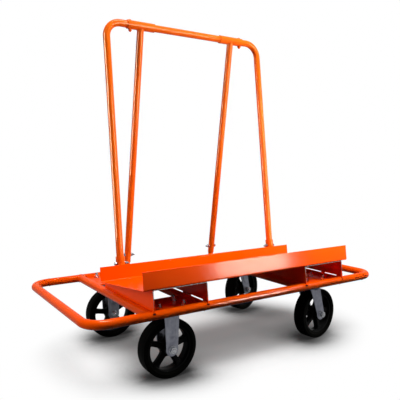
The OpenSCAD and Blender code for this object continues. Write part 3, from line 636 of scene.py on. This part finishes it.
# %% Fasteners of the backrest
foot_bolt_rise, brace_bolt_rise, sleeve_bolt_x = 59 * MM, 80 * MM, 271 * MM
top_y, top_z = (float(v) for v in on_deck((0, rest_y, rest_rise))[1:])
brace_lean = np.arctan2(rail_y - top_y, top_z - base_z)
brace_length = np.hypot(rail_y - top_y, top_z - base_z)
up_brace = np.array([0, -np.sin(brace_lean), np.cos(brace_lean)])
down_on_deck = square_axes((0, -np.sin(tilt), -np.cos(tilt)))
dome_profile = [(0, 1.5), (7.5, 1.5), (7.4, -0.4), (6.4, -1.7), (4.4, -2.5), (2.2, -2.9), (0, -3.0)]
dome = grid(lathe(np.array(dome_profile) * MM, 32), False, True)
rest_bolts, domes = [], []
for side in (-1, 1):
    inboard = square_axes((-side, 0, 0))
    foot = on_deck((side * rest_half, rest_y, foot_bolt_rise)) + [side * sleeve_r, 0, 0]
    hold = np.array([side * (brace_x + rest_r), rail_y, base_z]) + brace_bolt_rise * up_brace
    sleeve = on_deck((side * sleeve_bolt_x, rest_y, rest_rise + sleeve_r))
    foot_bolt = bolt(**m8, length=50 * MM, grip=2 * sleeve_r, spin=0.3)
    hold_bolt = bolt(**m8, length=46 * MM, grip=2 * rest_r, spin=0.7)
    sleeve_bolt = bolt(**m8, length=46 * MM, grip=2 * sleeve_r, spin=0.1)
    rest_bolts += placed(foot_bolt.values(), foot, inboard) + placed(hold_bolt.values(), hold, inboard)
    painted = [part for name, part in sleeve_bolt.items() if not name.startswith("head")]
    domes += placed([dome, *painted], sleeve, down_on_deck)
make_piece("backrest_fasteners", rest_bolts, bright_zinc, "cart_frame",
           ["upright_bolts", "brace_bolts", "sleeve_bolts", "backrest_nuts"], sharp=30)
make_piece("sleeve_bolt_domes", domes, painted_light_rest_coat, "cart_frame", sharp=60)

# %% Fasteners of the casters
hole_x, hole_y = 46 * MM, 33.5 * MM
plate_bolts, rigid_axles = [], []
for number, (where, c) in enumerate(casters.items()):
    for k, (sx, sy) in enumerate(((-1, -1), (1, -1), (1, 1), (-1, 1))):
        at = caster_seat(where) + [sx * hole_x, sy * hole_y, -plate_t]
        fastener = bolt(**m10, length=31 * MM, grip=plate_t + pad_t, spin=0.37 * (k + number))
        plate_bolts += placed(fastener.values(), at, flat)
    axes, axle = caster_axes(where)
    rod = bolt(**m14, length=86.8 * MM, grip=2 * fork_outer, spin=0.2 + 0.3 * number)
    rod = placed(rod.values(), axle - fork_outer * axes[2], square_axes(axes[2]))
    if c["trail"]:
        make_piece(f"axle_fasteners_{where}", rod, bright_zinc, f"swivel_{where}",
                   [f"axle_bolt_{where}", f"axle_nut_{where}"], sharp=30)
    else:
        rigid_axles += rod
make_piece("rigid_axle_fasteners", rigid_axles, bright_zinc, "cart_frame",
           ["rigid_axle_bolts", "rigid_axle_nuts"], sharp=30)
make_piece("caster_fasteners", plate_bolts, bright_zinc, "cart_frame",
           ["caster_bolts", "caster_nuts"], sharp=30)

# %% [markdown]
# ## Weld beads
# Every joint of the base is a fillet weld that was painted over. A bead is a round section carried along
# the joint, with a ripple every 3 mm where each drop of metal froze, and it tapers at its ends. Where one
# tube meets another, the joint's line is where the two round surfaces cross.

# %% Bead shape
ripple_length, path_step = 3 * MM, 0.6 * MM


def bead(path, radius, guide, closed=False, cols=10, ripple=0.2):
    """A round section carried along a path; its radius swings by a share with a sine of the length.

    The section's two axes are the path's direction crossed with a guide that never lies along the path, and
    that result crossed with the direction, so neighbouring sections never twist.
    """
    way = np.roll(path, -1, 0) - np.roll(path, 1, 0) if closed else np.gradient(path, axis=0)
    way = way / np.linalg.norm(way, axis=1, keepdims=True)
    side = np.cross(way, np.asarray(guide, float))
    side = side / np.linalg.norm(side, axis=1, keepdims=True)
    over = np.cross(side, way)
    length = np.r_[0, np.cumsum(np.linalg.norm(np.diff(path, axis=0), axis=1))]
    r = radius * (1 + ripple * np.sin(2 * np.pi * length / ripple_length))
    if not closed:
        r = r * np.sqrt(np.clip(np.minimum(length, length[-1] - length) / ripple_length, 0, 1))
    a = np.linspace(0, 2 * np.pi, cols, endpoint=False)
    ring = np.cos(a)[None, :, None] * side[:, None] + np.sin(a)[None, :, None] * over[:, None]
    return grid(path[:, None] + r[:, None, None] * ring, closed, True)


def line(start, end):
    """A straight path with a point at every path step."""
    start, end = np.asarray(start, float), np.asarray(end, float)
    s = np.linspace(0, 1, max(int(np.linalg.norm(end - start) / path_step), 6))[:, None]
    return start + (end - start) * s


around = np.linspace(0, 2 * np.pi, 160, endpoint=False)
print("a point every", round(float(tube_r * around[1] / MM), 2), "mm round a tube")

# %% [markdown]
# The base has the most joints: cross tubes to rails, end loops to rails, pads to tubes. The backrest has
# beads at the spigots, at the tops of the braces, and where the sockets meet the flange.

# %% Beads on the base
fillet_r, seam_r, seam_sink = 2.2 * MM, 1.5 * MM, 0.6 * MM
pad_start, pad_stop = 8 * MM, 6 * MM
far = rail_y - tube_r
base_beads = []
for side in (-1, 1):
    for end in (-1, 1):
        for step in (-1, 1):
            x = side * bay_x + step * bay_half
            saddle = np.c_[x + tube_r * np.cos(around), end * (rail_y - tube_r * np.abs(np.cos(around))),
                           base_z + tube_r * np.sin(around)]
            base_beads.append(bead(saddle, fillet_r, (0, 1, 0), True))
            edge = side * bay_x + step * (bay_half - tube_r)
            seam = line((edge, end * (far - pad_depth + pad_start), caster_z + pad_t),
                        (edge, end * (far - pad_stop), caster_z + pad_t))
            base_beads.append(bead(seam, fillet_r, (0, 0, 1)))
        hoop_r = tube_r - seam_sink
        hoop = np.c_[0 * around + side * seam_x, end * rail_y + hoop_r * np.cos(around),
                     base_z + hoop_r * np.sin(around)]
        base_beads.append(bead(hoop, seam_r, (1, 0, 0), True))
make_piece("base_weld_beads", base_beads, tube_coat, "cart_frame", sharp=70)

# %% Beads on the backrest
spigot_bead_r, brace_bead_r, socket_bead_r = 1.8 * MM, 1.6 * MM, 1.8 * MM
socket_half, socket_gap, socket_low, socket_high = 9 * MM, 1.6 * MM, 6 * MM, 50 * MM
aside = np.array([0, np.cos(brace_lean), np.sin(brace_lean)])
circle = np.cos(around)[:, None] * [1, 0, 0] + np.sin(around)[:, None] * aside


def tube_cross(radius, other):
    """How far a round tube's end stands off the axis of the tube that it meets, all the way round it."""
    return np.sqrt(other ** 2 - (radius * np.sin(around)) ** 2)[:, None]


rest_beads = []
for side in (-1, 1):
    root = np.array([side * brace_x, rail_y, base_z])
    low = root + spigot_r * circle + tube_cross(spigot_r, tube_r) * up_brace
    high = root + rest_r * circle + (brace_length - tube_cross(rest_r, sleeve_r)) * up_brace
    rest_beads.append(bead(low, spigot_bead_r, up_brace, True))
    rest_beads.append(bead(high, brace_bead_r, up_brace, True))
    for step in (-1, 1):
        x, y = side * rest_half + step * socket_half, deck_depth + socket_gap
        rest_beads.append(bead(line(on_deck((x, y, socket_low)), on_deck((x, y, socket_high))),
                               socket_bead_r, (1, 0, 0)))
make_piece("backrest_weld_beads", rest_beads, painted_light_rest_coat, "cart_frame", sharp=70)

# %% [markdown]
# The channels under the deck are sheared sheet. The thin pale line along the front of each channel is a
# painted highlight: a rod of pale steel along the front edge stands in for the light that the edge catches.
# Its walls are tacked to the front rail, and the tacks are painted dark brown as painted shade.

# %% Channel edges and tacks
edge_r, channel_foot, channel_setback = 1.5 * MM, 72 * MM, 6 * MM
tack_r, tack_half, tack_out, tack_up = 2.4 * MM, 6 * MM, 12.6 * MM, 8.2 * MM
edges, tacks = [], []
for middle in channel_middles:
    left, right = middle - channel_half + edge_r, middle + channel_half - edge_r
    corners = [(left, -channel_foot), (left, -edge_r), (right, -edge_r), (right, -channel_foot)]
    fold = open_rounded(corners, channel_bend)
    path = on_deck(np.stack([fold[:, 0], np.full(len(fold), channel_setback), fold[:, 1]], -1))
    edges.append(bead(path, edge_r, (0, np.cos(tilt), -np.sin(tilt)), ripple=0.0))
    for x in (left, right):
        spot = np.array([x, -rail_y - tack_out, base_z + tack_up])
        reach = np.array([tack_half, 0, 0])
        tacks.append(bead(line(spot - reach, spot + reach), tack_r, (0, 0, 1)))
make_piece("channel_front_edges", edges, edge_highlight_steel, "cart_frame", sharp=60)
make_piece("channel_weld_tacks", tacks, tack_shade_paint, "cart_frame", sharp=70)

# %% [markdown]
# ## Finish on the frame's own solids
# Tubes, channels and the other solids that are already right only need their finish, chosen by the
# material slot that the record gives each node. Painted tubes of the backrest get the backrest's coat.

# %% Finishes by slot
finish = {"tube_paint": tube_coat, "sheet_paint": sheet_coat, "fork_zinc": fork_zinc,
          "hardware_zinc": bright_zinc, "core_black": core_black, "tyre_rubber": tyre_rubber}
backrest_names = ("upright", "brace", "top_bar", "tee_sleeve")
for sub in frame["record"]["subparts"]:
    slot = sub["material_slot"]
    on_backrest = slot == "tube_paint" and sub["node"].startswith(backrest_names)
    mesh = nodes[sub["node"]].data
    mesh.materials.clear()
    mesh.materials.append(painted_light_rest_coat if on_backrest else finish[slot])

# %% [markdown]
# ## Lamps
# A studio picture like this one is put together from many small lights, and here each has one task. Soft
# boxes light the colour of the cart: a key in front on the right, one on the left, one overhead, and one
# behind for views from the back. Of these only the one overhead also shows in the gloss, which keeps the
# deck from clipping to white. Cards do the reverse: they show in the gloss alone, as the pale patch on the
# lip, the lines on the tubes and the streaks on the backrest. The base tubes have a weaker key of their
# own, because the photograph shows them darker, and the floor has a lamp of its own.

# %% Soft boxes and cards


def soft_box(name, at, towards, size, watts):
    """A rectangular lamp at a point, aimed at another point."""
    lamp = bpy.data.lights.new(name, "AREA")
    lamp.shape, lamp.energy = "RECTANGLE", watts
    lamp.size, lamp.size_y = size
    box = bpy.data.objects.new(name, lamp)
    aim = (Vector(towards) - Vector(at)).to_track_quat("-Z", "Y")
    box.matrix_world = Matrix.Translation(at) @ aim.to_matrix().to_4x4()
    box.visible_camera = False
    bpy.context.scene.collection.objects.link(box)
    return box


low_right, key_at, key_aim = (0.687, -1.239, 0.36), (1.1, -0.9, 1.1), (0.3, -0.2, 0.5)
card_size, key_size = (0.42, 0.34), (0.4, 0.5)
lip_card = soft_box("lip_card", low_right, (0.03, -0.33, 0.35), card_size, watts=21)
rail_card = soft_box("rail_card", low_right, (0.03, -0.33, 0.24), card_size, watts=90)
crown_card = soft_box("crown_card", (-0.3, -0.3, 3.3), (0, 0, 0.2), (1.2, 0.7), watts=560)
tube_box = soft_box("tube_soft_box", key_at, key_aim, key_size, watts=13)
left_card = soft_box("left_card", (-2.3, 0.4, 1.3), (-0.3, 0, 0.9), (1.3, 2.0), watts=620)
right_card = soft_box("right_card", (1.1, -2.4, 1.1), (0, 0, 1.0), (1.3, 1.9), watts=330)
key_box = soft_box("key_soft_box", key_at, key_aim, key_size, watts=42)
left_box = soft_box("left_soft_box", (-2.3, -0.15, 1.0), (-0.3, 0, 0.5), (0.5, 1.5), watts=22)
overhead_box = soft_box("overhead_soft_box", (0.05, -0.45, 3.3), (0, 0, 0.2), (1.2, 0.8), watts=85)
back_box = soft_box("back_soft_box", (0.2, 2.6, 1.3), (0, 0.2, 0.6), (1.4, 1.4), watts=60)
floor_box = soft_box("floor_soft_box", (-1.05, -1.3, 3.4), (0, 0, 0), (2.4, 1.7), watts=345)
print("made", len(bpy.data.lights), "lamps")

# %% [markdown]
# ## Ground
# The photograph has a white ground with a soft shadow under the cart. The world is white where a camera
# or a mirror sees it, at about half strength in mirrors, and nearly black for light that bounces. The
# floor is a pale disc that fades to plain white at its rim, so that no horizon shows. A faint glow of its
# own keeps its shadow at a mid grey, and it is darker close to the wheels, as in the photograph. For
# light that bounces the floor is dark, which keeps the shade under the cart deep.

# %% World and floor
WHITE = (1, 1, 1, 1)
mirror_share, bounced_level = 0.45, 0.025
floor_drop, floor_radii = 0.4 * MM, (0.0, 1.2, 2.4, 5.0, 14.0)
oval_half_x, oval_half_y, fade_from = 0.8, 0.55, 0.62
near_reach, near_full, near_none, near_dark = 0.24, 0.68, 0.985, 0.1
shadow_glow = 0.215


def seen_ray(tree):
    """One for rays from the camera and through glass, about half for mirrors, zero for bounced light."""
    path = add(tree, "ShaderNodeLightPath").outputs
    gloss = add(tree, "ShaderNodeMath", {0: path["Is Glossy Ray"]}, {1: mirror_share}, operation="MULTIPLY")
    seen = add(tree, "ShaderNodeMath", {0: path["Is Camera Ray"], 1: gloss.outputs[0]}, operation="MAXIMUM")
    through = {0: seen.outputs[0], 1: path["Is Transmission Ray"]}
    return add(tree, "ShaderNodeMath", through, operation="MAXIMUM").outputs[0]


world = bpy.data.worlds.new("studio")
bpy.context.scene.world = world
world.use_nodes = True
tree = world.node_tree
tree.nodes.clear()
level = add(tree, "ShaderNodeMapRange", {"Value": seen_ray(tree)}, {"To Min": bounced_level, "To Max": 1.0})
sky = add(tree, "ShaderNodeBackground", {"Strength": level.outputs["Result"]}, {"Color": WHITE})
add(tree, "ShaderNodeOutputWorld", {"Surface": sky.outputs["Background"]})

disc = np.array([(r, -floor_drop) for r in floor_radii])
floor_points, floor_quads = grid(lathe(disc, 96), False, True)
floor_mesh = bpy.data.meshes.new("studio_floor")
floor_mesh.from_pydata(floor_points.tolist(), [], floor_quads.tolist())
floor = bpy.data.objects.new("studio_floor", floor_mesh)
bpy.context.scene.collection.objects.link(floor)
print("floor has", len(floor_mesh.polygons), "faces")

# %% Paper of the floor
paper, tree, where = new_material("pale_studio_paper")
oval = add(tree, "ShaderNodeMapping", {"Vector": where}, {"Scale": (1 / oval_half_x, 1 / oval_half_y, 1.0)})
spread = add(tree, "ShaderNodeVectorMath", {0: oval.outputs["Vector"]}, operation="LENGTH")
fade = add(tree, "ShaderNodeMapRange", {"Value": spread.outputs["Value"]},
           {"From Min": fade_from, "From Max": 1.0}, interpolation_type="SMOOTHSTEP")
# Painted shadow: the floor's own material darkens it near the wheels from ambient occlusion; no lamp casts
# this shade.
near = add(tree, "ShaderNodeAmbientOcclusion", inputs={"Distance": near_reach}, samples=16)
shade = add(tree, "ShaderNodeMapRange", {"Value": near.outputs["AO"]},
            {"From Min": near_full, "From Max": near_none, "To Min": near_dark, "To Max": 1.0})
dim = add(tree, "ShaderNodeBsdfDiffuse", inputs={"Color": linear("#1C1C1C")})
soft = add(tree, "ShaderNodeBsdfDiffuse", inputs={"Color": linear("#A0A0A0")})
glow = add(tree, "ShaderNodeEmission", inputs={"Color": WHITE, "Strength": shadow_glow})
lit = add(tree, "ShaderNodeAddShader", {0: soft.outputs["BSDF"], 1: glow.outputs["Emission"]})
shaded = add(tree, "ShaderNodeMixShader", {"Fac": shade.outputs["Result"], 2: lit.outputs["Shader"]})
white = add(tree, "ShaderNodeEmission", inputs={"Color": WHITE, "Strength": 1.0})
shown = add(tree, "ShaderNodeMixShader",
            {"Fac": fade.outputs["Result"], 1: shaded.outputs["Shader"], 2: white.outputs["Emission"]})
paper_mix = add(tree, "ShaderNodeMixShader",
                {"Fac": seen_ray(tree), 1: dim.outputs["BSDF"], 2: shown.outputs["Shader"]})
add(tree, "ShaderNodeOutputMaterial", {"Surface": paper_mix.outputs["Shader"]})
floor_mesh.materials.append(paper)
print("made", paper.name)

# %% [markdown]
# Light linking tells each lamp what it lights. The soft boxes leave out the floor, and a card lights only
# the coats that should show it.


# %% What each lamp lights
def with_coat(*coats):
    """The objects whose finish is one of these coats."""
    return [o for o in bpy.context.scene.objects if o.type == "MESH" and o.data.materials[0] in coats]


def light_only(box, objects, state):
    """Says what a lamp lights: INCLUDE for these objects alone, EXCLUDE for all but these."""
    group = bpy.data.collections.new(f"{box.name}_receivers")
    for each in objects:
        group.objects.link(each)
    for entry in group.collection_objects:
        entry.light_linking.link_state = state
    box.light_linking.receiver_collection = group


for card, coats in ((lip_card, (tray_coat, sheet_coat)), (rail_card, (tube_coat,)),
                    (crown_card, (tube_coat,)), (left_card, (painted_light_rest_coat,)), (right_card, (painted_light_rest_coat,))):
    card.visible_diffuse = False
    light_only(card, with_coat(*coats), "INCLUDE")
light_only(key_box, [floor, *with_coat(tube_coat)], "EXCLUDE")
for box in (left_box, overhead_box, back_box):
    light_only(box, [floor], "EXCLUDE")
for box in (key_box, left_box, back_box):
    box.visible_glossy = False
light_only(tube_box, with_coat(tube_coat), "INCLUDE")
light_only(floor_box, [floor], "INCLUDE")
print("linked", len(bpy.data.lights), "lamps to what they light")

# %% [markdown]
# ## Look
# The view transform is Standard, so a colour comes out as it was written.

# %% Close
bpy.context.scene.view_settings.view_transform = "Standard"
